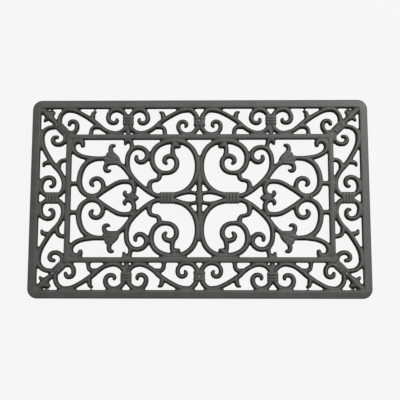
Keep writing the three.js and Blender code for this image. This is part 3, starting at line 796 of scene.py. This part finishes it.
def paintedIron(facts):
    material, shader, place = newMaterial("paintedIron")
    facing = addNode(material, "ShaderNodeNewGeometry")
    split = addNode(material, "ShaderNodeSeparateXYZ")
    link(material, facing.outputs["Normal"], split.inputs["Vector"])
    highlightSpan = {"From Min": facts["highlightStartsAt"], "From Max": facts["highlightFullAt"]}
    highlightShare = addNode(material, "ShaderNodeMapRange", highlightSpan)
    link(material, split.outputs["Z"], highlightShare.inputs["Value"])
    # painted shade on the flanks and a painted highlight on the crests, blended by how far each face
    # looks up
    colour = mixed(material, highlightShare.outputs["Result"], facts["paintedFlankShade"], facts["paintedCrestHighlight"])
    mottle = noise(material, place, facts["mottle"], facts["mottleDetail"], 0, 1)
    speckle = noise(material, place, facts["speckle"], facts["speckleDetail"], 0, 1)
    mottle = mixed(material, mottle, facts["mottleLow"], facts["mottleHigh"])
    speckle = mixed(material, speckle, facts["speckleLow"], facts["speckleHigh"])
    colour = mixed(material, 1.0, colour, mottle, "MULTIPLY")
    colour = mixed(material, 1.0, colour, speckle, "MULTIPLY")
    link(material, colour, shader.inputs["Base Color"])
    rough = noise(material, place, facts["mottle"], facts["roughnessDetail"], *facts["roughness"])
    link(material, rough, shader.inputs["Roughness"])
    roughen(material, shader, place, facts["grain"], facts["grainStrength"], facts["grainDepth"])
    return material


rubberFacts = {
    "dark": (0.009, 0.009, 0.0095, 1),
    "light": (0.022, 0.022, 0.021, 1),  # dusty patches
    "patches": 160,  # patches, rough patches and grains are per metre
    "patchDetail": 5,
    "roughness": (0.68, 0.9),
    "roughPatches": 420,
    "roughDetail": 3,
    "grain": 2200,
    "grainStrength": 0.25,
    "grainDepth": 0.1 * mm,
}


def mouldedRubber(facts):
    material, shader, place = newMaterial("mouldedRubber")
    patches = noise(material, place, facts["patches"], facts["patchDetail"], 0, 1)
    link(material, mixed(material, patches, facts["dark"], facts["light"]), shader.inputs["Base Color"])
    rough = noise(material, place, facts["roughPatches"], facts["roughDetail"], *facts["roughness"])
    link(material, rough, shader.inputs["Roughness"])
    roughen(material, shader, place, facts["grain"], facts["grainStrength"], facts["grainDepth"])
    return material


steelFacts = {
    "painted": {
        "colours": ((0.03, 0.03, 0.029, 1), (0.075, 0.075, 0.072, 1)),
        "metallic": 0.0,
        "roughness": (0.4, 0.6),
    },
    "bare": {
        "colours": ((0.82, 0.81, 0.78, 1), (0.95, 0.94, 0.91, 1)),
        "metallic": 1.0,
        "roughness": (0.25, 0.4),
    },
    "patches": 700,  # patches, rough patches and grains are per metre
    "patchDetail": 3,
    "roughPatches": 1500,
    "roughDetail": 3,
    "grain": 2500,
    "grainStrength": 0.2,
    "grainDepth": 0.05 * mm,
}


def rivetSteel(name, kind, facts):
    material, shader, place = newMaterial(name)
    patches = noise(material, place, facts["patches"], facts["patchDetail"], 0, 1)
    link(material, mixed(material, patches, *kind["colours"]), shader.inputs["Base Color"])
    shader.inputs["Metallic"].default_value = kind["metallic"]
    rough = noise(material, place, facts["roughPatches"], facts["roughDetail"], *kind["roughness"])
    link(material, rough, shader.inputs["Roughness"])
    roughen(material, shader, place, facts["grain"], facts["grainStrength"], facts["grainDepth"])
    return material


def finish(piece, *materials):
    piece.data.materials.clear()
    for material in materials:
        piece.data.materials.append(material)


def finishRivet(rivet, site, materials):  # the bore stays bare, and the rest is painted
    finish(rivet, *materials)
    axis = middleOf(f"rivet_{site}").xy
    radius = roundFacts["boreRadius"] * mm
    for face in rivet.data.polygons:
        inBore = (face.center.xy - axis).length < radius and face.center.z > ironBottom
        face.material_index = 1 if inBore else 0


finish(casting, paintedIron(ironFacts))
rubber = mouldedRubber(rubberFacts)
steels = (
    rivetSteel("paintedSteel", steelFacts["painted"], steelFacts),
    rivetSteel("bareSteel", steelFacts["bare"], steelFacts),
)
for foot, rivet, site in zip(feet, rivets, roundFacts["sites"]):
    finish(foot, rubber)
    finishRivet(rivet, site, steels)
print("materials made")


# Floor and light
stageFacts = {
    "floorSize": 12.0,
    "floorColour": (0.02, 0.02, 0.02, 1),
    "floorGlow": 0.9,
    "world": 0.42,
    "worldFront": 0.3,  # the sky's brightness towards the front and the back
    "worldBack": 1.5,
    "worldBelow": 0.02,  # the share of it that is left under the horizon
    "horizon": (-0.05, 0.05),  # a direction's Z where the horizon's soft edge starts and ends
    "keyPower": 21.5,
    "keyPlace": (1.15, 0.98, 1.2),
    "keySize": 1.1,
}


def makeStage(facts):
    bpy.ops.mesh.primitive_plane_add(size=facts["floorSize"])
    floor = bpy.context.object
    floor.name = "floor"
    material = bpy.data.materials.new("paleFloor")
    material.use_nodes = True
    shader = material.node_tree.nodes["Principled BSDF"]
    shader.inputs["Base Color"].default_value = facts["floorColour"]
    shader.inputs["Roughness"].default_value = 1
    shader.inputs["Emission Color"].default_value = (1, 1, 1, 1)
    shader.inputs["Emission Strength"].default_value = facts["floorGlow"]
    floor.data.materials.append(material)
    floor.visible_diffuse = False
    floor.visible_glossy = False

    # a studio sky, brighter at the back, and dark under the horizon so that no light comes up
    # through the floor
    world = bpy.data.worlds.new("studio")
    bpy.context.scene.world = world
    world.use_nodes = True
    background = world.node_tree.nodes["Background"]
    background.inputs["Strength"].default_value = facts["world"]
    direction = addNode(world, "ShaderNodeTexCoord")
    split = addNode(world, "ShaderNodeSeparateXYZ")
    low, high = facts["horizon"]
    horizon = {"From Min": low, "From Max": high, "To Min": facts["worldBelow"]}
    above = addNode(world, "ShaderNodeMapRange", horizon)
    depth = {"From Min": -1, "To Min": facts["worldFront"], "To Max": facts["worldBack"]}
    towardsBack = addNode(world, "ShaderNodeMapRange", depth)
    sky = addNode(world, "ShaderNodeMath", operation="MULTIPLY")
    link(world, direction.outputs["Generated"], split.inputs["Vector"])
    link(world, split.outputs["Z"], above.inputs["Value"])
    link(world, split.outputs["Y"], towardsBack.inputs["Value"])
    link(world, above.outputs["Result"], sky.inputs[0])
    link(world, towardsBack.outputs["Result"], sky.inputs[1])
    link(world, sky.outputs["Value"], background.inputs["Color"])

    bpy.ops.object.light_add(type="AREA", location=facts["keyPlace"])
    key = bpy.context.object
    key.name = "softKey"
    key.data.energy = facts["keyPower"]
    key.data.size = facts["keySize"]
    key.rotation_euler = (-Vector(facts["keyPlace"])).to_track_quat("-Z", "Y").to_euler()
    bpy.context.scene.view_settings.view_transform = "Standard"


makeStage(stageFacts)
print("stage made")
